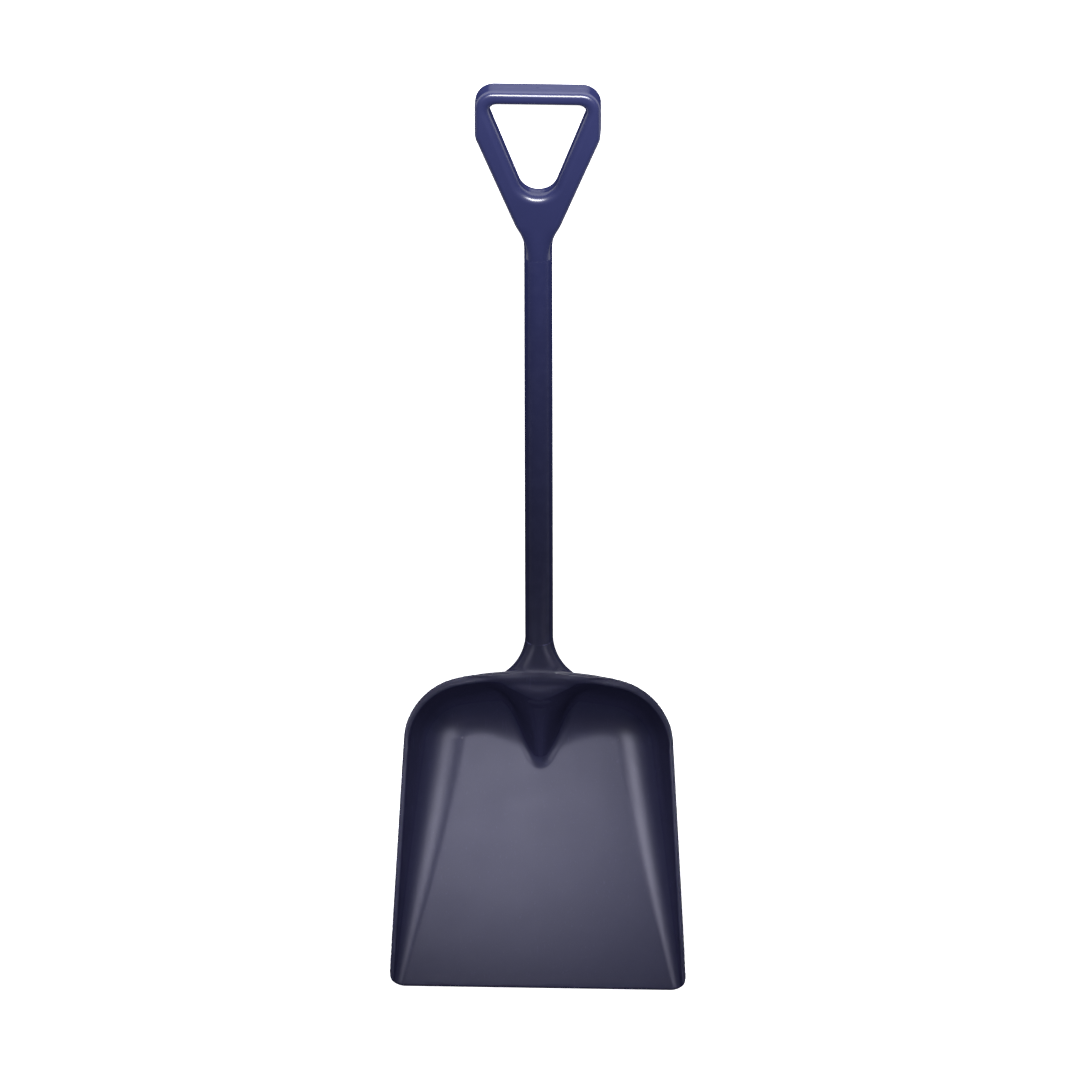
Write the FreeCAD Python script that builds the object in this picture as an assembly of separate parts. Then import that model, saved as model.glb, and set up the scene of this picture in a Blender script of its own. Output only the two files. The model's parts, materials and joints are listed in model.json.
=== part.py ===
"""Snow shovel: a moulded scoop on a straight sleeved shaft with a two-shell D-grip.

Three frames are used, all in millimetres.
 - blade frame: origin at the middle of the tip on the sole, +Y towards the back wall,
   +Z up out of the scoop.
 - shaft frame: origin where the shaft's axis passes the back rim, +Y along the shaft
   towards the grip, +Z out of the shaft's front.
 - row frame: the shovel lies on its back on z = 0, held up by the heel of the scoop
   and the end of the grip.
Every shape is made in the blade or shaft frame and carried to the row frame at the end.
"""

import FreeCAD
import Part

import math
import os

V = FreeCAD.Vector
X, Y, Z = V(1, 0, 0), V(0, 1, 0), V(0, 0, 1)

# ---- scoop: plan sizes are of the rim's inner edge ----
BLADE_LENGTH = 373.0
TIP_HALF_WIDTH = 166.8
CORNER_HALF_WIDTH = 150.2
CORNER_RADIUS = 74.0
BACK_RADIUS = 449.0
RIM_HEIGHT_BACK = 90.0
RIM_HEIGHT_TIP = 12.0
WALL = 4.5
WALL_SLANT = math.radians(22.0)
SIDE_LEG = 0.40
BACK_LEG = 0.50
SOLE_LEG_EXTRA = 2.0
RIM_BAND_BACK = 3.2
RIM_BAND_SIDE = 0.8
RIM_BAND_DEPTH = 0.09
TIP_CORNER = 14.0
SIDE_STATIONS = 14
CORNER_STATIONS = 14
BACK_STATIONS = 6

# ---- shaft ----
BACK_Y = 381.0
LIFT = 20.0
SHAFT_RADIUS = 16.0
AXIS_HEIGHT = 74.0
TUBE_RADIUS = 12.5
TUBE_WALL = 1.6
TUBE_LOW = -30.0
TUBE_HIGH = 600.0
FIT = 0.05
SOCKET_TOP = 41.0
NECK_LOW = 534.0

# ---- socket and nose ----
FLARE_HALF_WIDTH = 41.0
FLARE_FOOT = -9.0
FLARE_FRONT = 13.0
FLARE_REAR = -10.0
FLARE_DROP = 1.55
FLARE_BOW = (0.22, 0.90)
SOCKET_FLOOR = -34.0
NOSE_TOP_Y = 355.0
NOSE_TIP_Y = 250.0
NOSE_SPREAD_TOP = 1.4
NOSE_SPREAD_FOOT = 0.5
NOSE_DEEP_Y = 395.0
NOSE_ROUND = 7.0

# ---- grip ----
GRIP_TOP = 747.5
GRIP_HALF_WIDTH = 71.2
GRIP_HALF_DEPTH = 15.0
GRIP_SHOULDER = 688.5
NECK_TAPER_END = (18.6, 560.0)
NECK_ROUND = 40.0
GRIP_CORNER = 22.0
GRIP_SHOULDER_ROUND = 26.0
HOLE_TOP = 730.0
HOLE_LOW = 616.0
HOLE_TOP_HALF = 58.5
HOLE_LOW_HALF = 15.6
HOLE_CORNER = 10.0
HOLE_LOW_ROUND = 19.0
GRIP_EDGE = 6.0
SHELL = 3.2
SHELL_SIDE = 4.2
GRIP_SPLIT = 0.02
SOLID_NECK = 622.0
HEEL_STEPS = 200

# ---- fasteners ----
SCREW_RADIUS = 1.9
SCREW_HEAD_RADIUS = 3.6
SCREW_HEAD = 2.6
SCREW_CROWN = 1.17
SCREW_LENGTH = 20.0
THREAD_GAP = 0.25
SCREW_POINT = 3.0
CROSS_LENGTH = 4.2
CROSS_WIDTH = 0.9
CROSS_DEPTH = 1.3
BOSS_RADIUS = 5.2
SCREW_SEAT = -11.0
RECESS_REACH = 30.0
GRIP_SCREWS = ((-57.0, 736.0), (57.0, 736.0), (-47.5, 668.0), (47.5, 668.0), (0.0, 607.5))
SOCKET_SCREWS = (24.0, -2.0)
SOCKET_SCREW_REACH = 8.0
PIN_RADIUS = 3.0
PIN_HALF = 16.5
PIN_Y = 562.0
PIN_CHAMFER = 0.5
PLUG_DEPTH = 16.0
PLUG_CAP = 3.0

# ---- modelling ----
TOUCH = 1e-3
SHARP_CORNER = 0.01


# ---------------------------------------------------------------- scoop
def rim_height(y):
    """Height of the rim above the sole: a straight slope from the tip to the back."""
    return RIM_HEIGHT_TIP + (RIM_HEIGHT_BACK - RIM_HEIGHT_TIP) * y / BLADE_LENGTH


def corner_centre():
    """Centre of the plan arc of the back corner, tangent inside the arc of the back edge."""
    x = CORNER_HALF_WIDTH - CORNER_RADIUS
    rise = math.sqrt((BACK_RADIUS - CORNER_RADIUS) ** 2 - x**2)
    return x, BLADE_LENGTH - BACK_RADIUS + rise


def rim_stations():
    """Plan points of the rim's right half, tip to back, with each wall's facing and its foot's growth."""
    cx, cy = corner_centre()
    stations = []
    for i in range(SIDE_STATIONS):
        f = i / SIDE_STATIONS
        half = TIP_HALF_WIDTH + (CORNER_HALF_WIDTH - TIP_HALF_WIDTH) * f
        stations.append((half, cy * f, 0.0, 0.0))
    join = math.atan2(cy - (BLADE_LENGTH - BACK_RADIUS), cx)
    for i in range(CORNER_STATIONS):
        a = join * i / CORNER_STATIONS
        stations.append((cx + CORNER_RADIUS * math.cos(a), cy + CORNER_RADIUS * math.sin(a), a, 0.0))
    for i in range(BACK_STATIONS + 1):
        f = i / BACK_STATIONS
        a = join + (math.pi / 2 - join) * f
        y = BLADE_LENGTH - BACK_RADIUS + BACK_RADIUS * math.sin(a)
        stations.append((BACK_RADIUS * math.cos(a), y, a, f * f * (3 - 2 * f)))
    return stations


def section(x, y, angle, growth):
    """The wall's cross-section at one rim station, as named points, from the floor up and over the rim."""
    back = math.sin(angle) ** 2
    out = V(math.cos(angle), math.sin(angle), 0)
    top = rim_height(y)
    slope = math.tan(WALL_SLANT)
    leg = (SIDE_LEG + (BACK_LEG - SIDE_LEG) * growth) * top
    band = RIM_BAND_SIDE + (RIM_BAND_BACK - RIM_BAND_SIDE) * back
    depth = RIM_BAND_DEPTH * top
    skin = WALL / math.cos(WALL_SLANT)
    along = V(0, 0, math.cos(WALL_SLANT)) + out * math.sin(WALL_SLANT)
    rim = V(x, y, top)
    inner_corner = rim - out * ((top - WALL) * slope) - Z * (top - WALL)
    outer_corner = rim + out * (skin - top * slope) - Z * top
    under = rim + out * (skin - depth * slope) - Z * depth
    sole_leg = leg + SOLE_LEG_EXTRA
    return {
        "floor": inner_corner - out * leg,
        "inner_corner": inner_corner,
        "inner_wall": inner_corner + along * leg,
        "rim_in": rim,
        "rim_out": rim + out * (skin + band),
        "band_low": under + out * band,
        "under": under,
        "outer_wall": outer_corner + along * sole_leg,
        "outer_corner": outer_corner,
        "sole": outer_corner - out * sole_leg,
    }


def all_sections():
    """Sections from the right tip round the back to the left tip."""
    right = [section(*s) for s in rim_stations()]
    left = [{k: V(-p.x, p.y, p.z) for k, p in s.items()} for s in reversed(right[:-1])]
    return right + left


def row_curve(sections, name):
    """A smooth curve through one named point of every section, all rows on the same parameters."""
    points = [s[name] for s in sections]
    rims = [s["rim_in"] for s in sections]
    lengths = [0.0]
    for a, b in zip(rims, rims[1:]):
        lengths.append(lengths[-1] + (b - a).Length)
    curve = Part.BSplineCurve()
    curve.interpolate(Points=points, Parameters=lengths)
    return curve


def strip(curves):
    """The surface across two rows (ruled) or three rows (a quadratic fillet)."""
    poles = [list(p) for p in zip(*[c.getPoles() for c in curves])]
    degree = len(curves) - 1
    ends = [degree + 1, degree + 1]
    first = curves[0]
    along = first.getMultiplicities()
    knots = first.getKnots()
    surface = Part.BSplineSurface()
    surface.buildFromPolesMultsKnots(
        poles, along, ends, knots, [0.0, 1.0], False, False, first.Degree, degree
    )
    return surface.toShape()


def closed_solid(faces):
    """Sews faces that share their edges into one solid with its normals outwards."""
    shell = Part.Shell(faces)
    shell.sewShape()
    solid = Part.Solid(shell)
    if solid.Volume < 0:
        solid.reverse()
    return solid


def tip_face(sections):
    """The flat face at the tip, round the whole section of floor and both low walls."""
    edges = []
    for s in (sections[0], sections[-1]):
        for a, b, c in (("floor", "inner_corner", "inner_wall"), ("outer_wall", "outer_corner", "sole")):
            bend = Part.BezierCurve()
            bend.setPoles([s[a], s[b], s[c]])
            edges.append(bend.toShape())
        run = ("inner_wall", "rim_in", "rim_out", "band_low", "under", "outer_wall")
        edges += [Part.makeLine(s[a], s[b]) for a, b in zip(run, run[1:])]
    for name in ("floor", "sole"):
        edges.append(Part.makeLine(sections[0][name], sections[-1][name]))
    return Part.Face(Part.Wire(Part.__sortEdges__(edges)))


def scoop_body():
    """The open scoop: floor, leaning walls with rounded feet, and a thicker band round the rim."""
    sections = all_sections()
    rows = {name: row_curve(sections, name) for name in sections[0]}
    strips = (
        ("floor", "inner_corner", "inner_wall"),
        ("inner_wall", "rim_in"),
        ("rim_in", "rim_out"),
        ("rim_out", "band_low"),
        ("band_low", "under"),
        ("under", "outer_wall"),
        ("outer_wall", "outer_corner", "sole"),
    )
    faces = [strip([rows[n] for n in names]) for names in strips]
    for name in ("floor", "sole"):
        line = Part.makeLine(sections[-1][name], sections[0][name])
        faces.append(Part.Face(Part.Wire([rows[name].toShape(), line])))
    faces.append(tip_face(sections))
    return closed_solid(faces)


def tip_corner_cutter(side):
    """A prism that leaves the tip's corner round when it is cut away."""
    edge = TIP_HALF_WIDTH + WALL / math.cos(WALL_SLANT) + RIM_BAND_SIDE
    low = V(edge - TIP_CORNER, -TIP_CORNER, -TIP_CORNER)
    tall = 4 * TIP_CORNER
    block = Part.makeBox(2 * TIP_CORNER, 2 * TIP_CORNER, tall, low)
    drum = Part.makeCylinder(TIP_CORNER, tall, low + Y * (2 * TIP_CORNER))
    cutter = block.cut(drum)
    return cutter if side > 0 else cutter.mirror(V(0, 0, 0), X)


# ---------------------------------------------------------------- outlines
def rounded_outline(corners):
    """A closed planar wire through corners (x, y, radius), every corner rounded by a tangent arc."""
    points = [V(x, y, 0) for x, y, r in corners]
    radii = [r for x, y, r in corners]
    arcs = []
    for i, p in enumerate(points):
        before = (points[i - 1] - p).normalize()
        after = (points[(i + 1) % len(points)] - p).normalize()
        half = before.getAngle(after) / 2
        reach = radii[i] / math.tan(half)
        middle = (before + after).normalize()
        top = p + middle * (radii[i] / math.sin(half) - radii[i])
        arcs.append((p + before * reach, top, p + after * reach))
    edges = []
    for i, (start, top, end) in enumerate(arcs):
        edges.append(Part.Arc(start, top, end).toShape())
        edges.append(Part.makeLine(end, arcs[(i + 1) % len(arcs)][0]))
    return Part.Wire(edges)


def plate(wire, low, high):
    """A flat plate of the wire's outline between two heights."""
    body = Part.Face(wire).extrude(Z * (high - low))
    body.translate(Z * low)
    return body


def mirrored(right):
    """Corners of a symmetric outline from those of its right half."""
    return right + [(-x, y, r) for x, y, r in reversed(right) if x > 0]


def rod(radius, low, high):
    """A round rod on the shaft's axis between two distances from the back rim."""
    return Part.makeCylinder(radius, high - low, V(0, low, 0), Y)


def edges_at(shape, height):
    """The edges of a plate that lie in the plane at one height."""
    found = []
    for e in shape.Edges:
        box = e.BoundBox
        if abs(box.ZMin - height) < TOUCH and abs(box.ZMax - height) < TOUCH:
            found.append(e)
    return found


# ---------------------------------------------------------------- socket and nose
def socket_body():
    """The socket on the shaft's axis: a sleeve end with a web that sweeps out to the rim."""
    sweep = FLARE_HALF_WIDTH - SHAFT_RADIUS
    top = V(SHAFT_RADIUS, SOCKET_TOP, 0)
    foot = V(FLARE_HALF_WIDTH, SOCKET_TOP - FLARE_DROP * sweep, 0)
    middle = V(SHAFT_RADIUS + FLARE_BOW[0] * sweep, SOCKET_TOP - FLARE_BOW[1] * sweep, 0)
    low = V(FLARE_HALF_WIDTH, FLARE_FOOT, 0)
    right = Part.Arc(top, middle, foot).toShape()
    left = right.mirror(V(0, 0, 0), X)
    lines = [
        Part.makeLine(foot, low),
        Part.makeLine(low, V(-low.x, low.y, 0)),
        Part.makeLine(V(-low.x, low.y, 0), V(-foot.x, foot.y, 0)),
        Part.makeLine(V(-top.x, top.y, 0), top),
    ]
    wire = Part.Wire(Part.__sortEdges__([right, left] + lines))
    web = plate(wire, FLARE_REAR, FLARE_FRONT)
    return web.fuse(rod(SHAFT_RADIUS, SOCKET_FLOOR, SOCKET_TOP))


def nose_level(apex, spread, height):
    """One level of the nose: a triangle pointing at the tip, running back past the wall."""
    half = spread * (NOSE_DEEP_Y - apex)
    point = V(0, apex, height)
    right = V(half, NOSE_DEEP_Y, height)
    left = V(-half, NOSE_DEEP_Y, height)
    return Part.makePolygon([point, right, left, point])


def inside_of_scoop():
    """Everything inside the scoop's outer skin, up to the rim's plane."""
    sections = all_sections()
    rows = {name: row_curve(sections, name) for name in ("sole", "outer_corner", "outer_wall", "rim_in")}
    faces = [
        strip([rows["outer_wall"], rows["outer_corner"], rows["sole"]]),
        strip([rows["outer_wall"], rows["rim_in"]]),
    ]
    for name in ("sole", "rim_in"):
        line = Part.makeLine(sections[-1][name], sections[0][name])
        faces.append(Part.Face(Part.Wire([rows[name].toShape(), line])))
    edges = []
    for s in (sections[0], sections[-1]):
        bend = Part.BezierCurve()
        bend.setPoles([s["outer_wall"], s["outer_corner"], s["sole"]])
        edges += [bend.toShape(), Part.makeLine(s["outer_wall"], s["rim_in"])]
    for name in ("sole", "rim_in"):
        edges.append(Part.makeLine(sections[0][name], sections[-1][name]))
    faces.append(Part.Face(Part.Wire(Part.__sortEdges__(edges))))
    return closed_solid(faces)


def nose_body():
    """The wedge that carries the shaft's end down the back wall to a point on the floor."""
    front = AXIS_HEIGHT + (NOSE_TOP_Y - BACK_Y) * math.tan(math.radians(LIFT))
    front += SHAFT_RADIUS / math.cos(math.radians(LIFT))
    top = nose_level(NOSE_TOP_Y, NOSE_SPREAD_TOP, front)
    foot = nose_level(NOSE_TIP_Y, NOSE_SPREAD_FOOT, 0)
    wedge = Part.makeLoft([foot, top], True, True)
    upright = [e for e in wedge.Edges if e.BoundBox.ZLength > WALL]
    ridge = [e for e in upright if abs(e.CenterOfMass.x) < TOUCH]
    return wedge.makeFillet(NOSE_ROUND, ridge).common(inside_of_scoop())


def blade():
    """The whole scoop moulding with its socket, nose and bore, in the blade frame."""
    body = scoop_body()
    for side in (1, -1):
        body = body.cut(tip_corner_cutter(side))
    body = body.fuse([nose_body(), on_shaft(socket_body())])
    bore = rod(TUBE_RADIUS + FIT, TUBE_LOW - PLUG_CAP, SOCKET_TOP + 1)
    body = body.cut(on_shaft(bore))
    screws = [socket_screw_space(y) for y in SOCKET_SCREWS]
    return body.cut(on_shaft(Part.makeCompound(screws)))


# ---------------------------------------------------------------- shaft
def core_tube():
    """The metal tube inside the handle, with the holes for the pin and the socket screws."""
    hollow = rod(TUBE_RADIUS - TUBE_WALL, TUBE_LOW - 1, TUBE_HIGH + 1)
    tube = rod(TUBE_RADIUS, TUBE_LOW, TUBE_HIGH).cut(hollow)
    tube = tube.cut(Part.makeCylinder(PIN_RADIUS + FIT, 4 * PIN_HALF, V(-2 * PIN_HALF, PIN_Y, 0), X))
    for y in SOCKET_SCREWS:
        tube = tube.cut(Part.makeCylinder(SCREW_RADIUS + FIT, SHAFT_RADIUS, V(0, y, -SHAFT_RADIUS), Z))
    return tube


def shaft_sleeve():
    """The plastic sleeve over the tube, flush with the socket below and the grip's neck above."""
    bore = rod(TUBE_RADIUS + FIT, SOCKET_TOP - 1, NECK_LOW + 1)
    return rod(SHAFT_RADIUS, SOCKET_TOP, NECK_LOW).cut(bore)


def tube_plug(end, inward):
    """A plug pressed into one end of the tube: a cap against the end and a cup inside."""
    outer = end - inward * PLUG_CAP
    cap = rod(TUBE_RADIUS, min(end, outer), max(end, outer))
    deep = end + inward * PLUG_DEPTH
    stem = rod(TUBE_RADIUS - TUBE_WALL - FIT, min(end, deep), max(end, deep))
    hollow = rod(TUBE_RADIUS - TUBE_WALL - SHELL, min(end, deep), max(end, deep))
    return cap.fuse(stem.cut(hollow)).removeSplitter()


def socket_screw_space(y):
    """The hole and the head's recess for one socket screw, entered from the rear."""
    seat = SCREW_HEAD - SHAFT_RADIUS
    hole = Part.makeCylinder(SCREW_RADIUS + FIT, SHAFT_RADIUS, V(0, y, seat - SHAFT_RADIUS / 2), Z)
    recess = Part.makeCylinder(SCREW_HEAD_RADIUS + FIT, RECESS_REACH, V(0, y, seat - RECESS_REACH), Z)
    return hole.fuse(recess)


def screw(length):
    """A pan-head screw with a cross recess; its head's seat is at z = 0 and its shank points up."""
    head = Part.makeCylinder(SCREW_HEAD_RADIUS, SCREW_HEAD, V(0, 0, -SCREW_HEAD))
    crown = [e for e in head.Edges if e.BoundBox.ZMax < -SCREW_HEAD / 2]
    head = head.makeFillet(SCREW_CROWN, crown)
    thread = SCREW_RADIUS - THREAD_GAP
    shank = Part.makeCylinder(thread, length - SCREW_POINT)
    point = Part.makeCone(thread, thread / 4, SCREW_POINT, V(0, 0, length - SCREW_POINT))
    body = head.fuse([shank, point])
    for wide, thin in ((CROSS_LENGTH, CROSS_WIDTH), (CROSS_WIDTH, CROSS_LENGTH)):
        body = body.cut(Part.makeBox(wide, thin, CROSS_DEPTH, V(-wide / 2, -thin / 2, -SCREW_HEAD)))
    return body


def socket_screws():
    """The screws that hold the socket to the tube, as separate solids."""
    made = []
    for y in SOCKET_SCREWS:
        one = screw(SOCKET_SCREW_REACH)
        one.translate(V(0, y, -SHAFT_RADIUS + SCREW_HEAD))
        made.append(one)
    return Part.makeCompound(made)


# ---------------------------------------------------------------- grip
def grip_outline():
    """The D-grip's outline: square top, straight sides, then a taper into the neck."""
    right = [
        (GRIP_HALF_WIDTH, GRIP_TOP, GRIP_CORNER),
        (GRIP_HALF_WIDTH, GRIP_SHOULDER, GRIP_SHOULDER_ROUND),
        (*NECK_TAPER_END, NECK_ROUND),
        (SHAFT_RADIUS, NECK_LOW, SHARP_CORNER),
    ]
    return rounded_outline(mirrored(right))


def hole_outline():
    """The hand hole: a triangle with its point towards the shaft, all corners round."""
    right = [(HOLE_TOP_HALF, HOLE_TOP, HOLE_CORNER), (HOLE_LOW_HALF, HOLE_LOW, HOLE_LOW_ROUND)]
    return rounded_outline(mirrored(right))


def grip_body():
    """The grip as one piece before it is split: outline, hand hole and rounded edges."""
    body = plate(grip_outline(), -GRIP_HALF_DEPTH, GRIP_HALF_DEPTH)
    body = body.cut(plate(hole_outline(), -2 * GRIP_HALF_DEPTH, 2 * GRIP_HALF_DEPTH))
    for height in (-GRIP_HALF_DEPTH, GRIP_HALF_DEPTH):
        edges = [e for e in edges_at(body, height) if e.CenterOfMass.y > NECK_LOW + 1]
        body = body.makeFillet(GRIP_EDGE, edges)
    return body


def upper_face(face):
    """Sorts faces by height and then by size."""
    return round(face.CenterOfMass.z / TOUCH), face.Area


def grip_hollow():
    """The space inside the grip's shells, above the solid neck and round the screws' bosses."""
    ring = plate(grip_outline(), 0, 1).cut(plate(hole_outline(), -1, 2))
    face = max(ring.Faces, key=upper_face)
    inner = face.makeOffset2D(-SHELL_SIDE)
    hollow = inner.extrude(Z * (2 * (GRIP_HALF_DEPTH - SHELL)))
    hollow.translate(Z * (SHELL - GRIP_HALF_DEPTH - face.CenterOfMass.z))
    wide, deep = 2 * GRIP_HALF_WIDTH, 2 * GRIP_HALF_DEPTH
    neck = Part.makeBox(2 * wide, SOLID_NECK - NECK_LOW + wide, 2 * deep, V(-wide, NECK_LOW - wide, -deep))
    bosses = [Part.makeCylinder(BOSS_RADIUS, 2 * deep, V(x, y, -deep)) for x, y in GRIP_SCREWS]
    return hollow.cut(neck).cut(Part.makeCompound(bosses))


def grip_spaces():
    """What the neck holds: the tube with its cap, the pin across it and the screws."""
    spaces = [
        rod(TUBE_RADIUS + FIT, NECK_LOW - 1, TUBE_HIGH + PLUG_CAP + FIT),
        Part.makeCylinder(PIN_RADIUS + FIT, 2 * (PIN_HALF + FIT), V(-PIN_HALF - FIT, PIN_Y, 0), X),
    ]
    for x, y in GRIP_SCREWS:
        seat = V(x, y, SCREW_SEAT)
        spaces.append(Part.makeCylinder(SCREW_RADIUS + FIT, SCREW_LENGTH + 1, seat))
        low = seat - Z * GRIP_HALF_DEPTH
        spaces.append(Part.makeCylinder(SCREW_HEAD_RADIUS + FIT, GRIP_HALF_DEPTH, low))
    return Part.makeCompound(spaces)


def grip_shells():
    """The front and rear shells, parted at the middle plane."""
    body = grip_body().cut(grip_hollow()).cut(grip_spaces())
    size = 4 * GRIP_HALF_WIDTH
    low = V(-size / 2, NECK_LOW - size / 4, 0)
    front = body.common(Part.makeBox(size, size, size, low + Z * (GRIP_SPLIT / 2)))
    rear = body.common(Part.makeBox(size, size, size, low - Z * (size + GRIP_SPLIT / 2)))
    return front, rear


def grip_screws():
    """The screws that pull the shells together, all entered from the rear."""
    made = []
    for x, y in GRIP_SCREWS:
        one = screw(SCREW_LENGTH)
        one.translate(V(x, y, SCREW_SEAT))
        made.append(one)
    return Part.makeCompound(made)


def grip_pin():
    """The cross pin, caught between the shells, that keeps the grip from pulling off or turning."""
    pin = Part.makeCylinder(PIN_RADIUS, 2 * PIN_HALF, V(-PIN_HALF, PIN_Y, 0), X)
    return pin.makeChamfer(PIN_CHAMFER, [e for e in pin.Edges if e.Closed])


# ---------------------------------------------------------------- placing
def on_shaft(shape):
    """Carries a shape from the shaft frame to the blade frame."""
    placed = shape.copy()
    placed.Placement = FreeCAD.Placement(V(0, BACK_Y, AXIS_HEIGHT), FreeCAD.Rotation(X, LIFT))
    return placed


def ground_slope():
    """The slope, in the blade frame, of the line that touches the heel and the rear end of the grip."""
    carry = FreeCAD.Placement(V(0, BACK_Y, AXIS_HEIGHT), FreeCAD.Rotation(X, LIFT))
    end = carry.multVec(V(0, GRIP_TOP - GRIP_EDGE, -GRIP_HALF_DEPTH))
    back = section(0, BLADE_LENGTH, math.pi / 2, 1.0)
    low, corner, high = back["sole"], back["outer_corner"], back["outer_wall"]
    slopes = []
    for i in range(1, HEEL_STEPS):
        f = i / HEEL_STEPS
        p = low * (1 - f) ** 2 + corner * (2 * f * (1 - f)) + high * f**2
        slopes.append((end.z - p.z) / (end.y - p.y))
    return math.degrees(math.atan(max(slopes)))


def sub_parts():
    """Every sub-part by name, in the blade frame."""
    front, rear = grip_shells()
    handle = {
        "core_tube": core_tube(),
        "shaft_sleeve": shaft_sleeve(),
        "lower_tube_plug": tube_plug(TUBE_LOW, 1),
        "upper_tube_plug": tube_plug(TUBE_HIGH, -1),
        "socket_screws": socket_screws(),
        "grip_front_shell": front,
        "grip_rear_shell": rear,
        "grip_screws": grip_screws(),
        "grip_pin": grip_pin(),
    }
    return {"scoop_blade": blade()} | {name: on_shaft(shape) for name, shape in handle.items()}


def main():
    """Lays the shovel on its back with the middle of its box over the origin, and writes every sub-part."""
    parts = sub_parts()
    turn = FreeCAD.Rotation(X, -ground_slope())
    for shape in parts.values():
        shape.Placement = FreeCAD.Placement(V(0, 0, 0), turn).multiply(shape.Placement)
    box = Part.makeCompound(list(parts.values())).optimalBoundingBox()
    shift = V(-(box.XMin + box.XMax) / 2, -(box.YMin + box.YMax) / 2, -box.ZMin)
    os.makedirs("parts", exist_ok=True)
    for name, shape in parts.items():
        shape.translate(shift)
        shape.exportStep(f"parts/{name}.step")


main()
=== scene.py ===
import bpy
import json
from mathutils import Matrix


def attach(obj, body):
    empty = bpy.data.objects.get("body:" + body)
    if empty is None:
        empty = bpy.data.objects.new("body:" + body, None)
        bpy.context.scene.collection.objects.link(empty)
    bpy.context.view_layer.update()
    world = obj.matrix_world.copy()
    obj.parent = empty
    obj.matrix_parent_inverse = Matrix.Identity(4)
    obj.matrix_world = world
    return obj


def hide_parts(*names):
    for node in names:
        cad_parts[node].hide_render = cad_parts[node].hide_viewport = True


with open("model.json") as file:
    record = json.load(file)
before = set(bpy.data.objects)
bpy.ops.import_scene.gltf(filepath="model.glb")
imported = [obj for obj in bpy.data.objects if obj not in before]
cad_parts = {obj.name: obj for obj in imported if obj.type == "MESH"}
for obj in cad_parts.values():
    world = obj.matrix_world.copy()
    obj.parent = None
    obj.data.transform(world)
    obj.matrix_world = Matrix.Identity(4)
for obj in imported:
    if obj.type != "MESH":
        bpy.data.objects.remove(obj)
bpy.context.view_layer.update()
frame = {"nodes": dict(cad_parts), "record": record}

# Snow shovel. The moulded scoop, sleeve and grip are meshed here from distance fields, and every
# piece gets its finish. Lengths inside the mesh code are in millimetres, and become metres in the
# row frame when a mesh is placed. Two frames are used before that.
#  - blade frame: origin at the middle of the tip on the sole, +Y to the back wall, +Z out of the
#    open side.
#  - shaft frame: origin where the shaft's axis passes the back rim, +Y along the shaft to the grip,
#    +Z to its front.

import json
import math

import bmesh
import bpy
import numpy as np
from mathutils import Matrix, Vector

MM = 0.001

# ---- sizes shared with the CAD model, in millimetres ----
RIM_LENGTH = 373.0
TIP_HALF_WIDTH = 166.8
CORNER_HALF_WIDTH = 150.2
CORNER_RADIUS = 74.0
BACK_RADIUS = 449.0
RIM_BACK, RIM_TIP = 90.0, 12.0
WALL = 4.5
SLANT = math.radians(22.0)
SOLE_MOUNT_Y = 150.0
BACK_Y, AXIS_HEIGHT, LIFT = 381.0, 74.0, math.radians(20.0)
SHAFT_RADIUS, BORE_RADIUS = 16.0, 12.55
SOCKET_TOP, NECK_LOW = 41.0, 534.0
BORE_LOW, BORE_HIGH = -33.0, 603.0
GRIP_TOP, GRIP_HALF_WIDTH, GRIP_HALF_DEPTH = 747.5, 71.2, 15.0
SCREW_RECESS = 3.65
GRIP_SCREWS = ((-57.0, 736.0), (57.0, 736.0), (-47.5, 668.0), (47.5, 668.0), (0.0, 607.5))
GRIP_RECESS_FLOOR = -11.0
SOCKET_SCREWS = (24.0, -2.0)
SOCKET_RECESS_FLOOR = -13.4
SCREW_SHANK = 1.95
GRIP_SCREW_END, SOCKET_SCREW_END = 10.0, -5.0
PIN_RADIUS, PIN_HALF, PIN_PLACE = 3.05, 16.55, 562.0

# ---- mesh fineness, and the hairline gaps between mouldings, in millimetres ----
SCOOP_CELL, GRIP_CELL = 1.6, 1.3
SCOOP_LOW, SCOOP_HIGH = (-174.0, 0.0, 0.0), (174.0, 434.0, 112.0)
GRIP_MARGIN = 4.0
SEAM, PARTING = 0.08, 0.12
MOST_TRIANGLES = 180000
BORE_STEPS, HOLE_STEPS, SLEEVE_STEPS = 72, 40, 144
SHARP, CUT_ANGLE = math.radians(40.0), math.radians(65.0)
SLIDE = 0.6
ON_PLANE, ON_SURFACE = 1e-3, 0.3
LEAST_SLOPE, TINY = 1e-3, 1e-9


# ---------------------------------------------------------------- frames
def blade_matrix():
    """Blade frame in millimetres to row frame in metres, read from the sole's mount."""
    sole = next(m for m in frame["record"]["mounts"] if m["name"] == "scoop_sole")
    down = Vector(sole["axis"]).normalized()
    slope = math.atan2(-down.y, -down.z)
    turn = Matrix.Rotation(-slope, 4, "X")
    origin = Vector(sole["pos_m"]) - turn @ Vector((0, SOLE_MOUNT_Y * MM, 0))
    return Matrix.Translation(origin) @ turn @ Matrix.Scale(MM, 4)


BLADE = blade_matrix()
SHAFT_IN_BLADE = Matrix.Translation((0, BACK_Y, AXIS_HEIGHT)) @ Matrix.Rotation(LIFT, 4, "X")
SHAFT = BLADE @ SHAFT_IN_BLADE


# ---------------------------------------------------------------- distance-field tools
def round_min(a, b, r):
    """The overlap of two solids, positive inside, with the edge between them rounded."""
    u = np.maximum(r - a, 0.0)
    v = np.maximum(r - b, 0.0)
    return np.where((a < r) & (b < r), r - np.sqrt(u * u + v * v), np.minimum(a, b))


def round_max(a, b, r):
    """The union of two solids, positive inside, with a fillet where they meet."""
    return -round_min(-a, -b, r)


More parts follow.
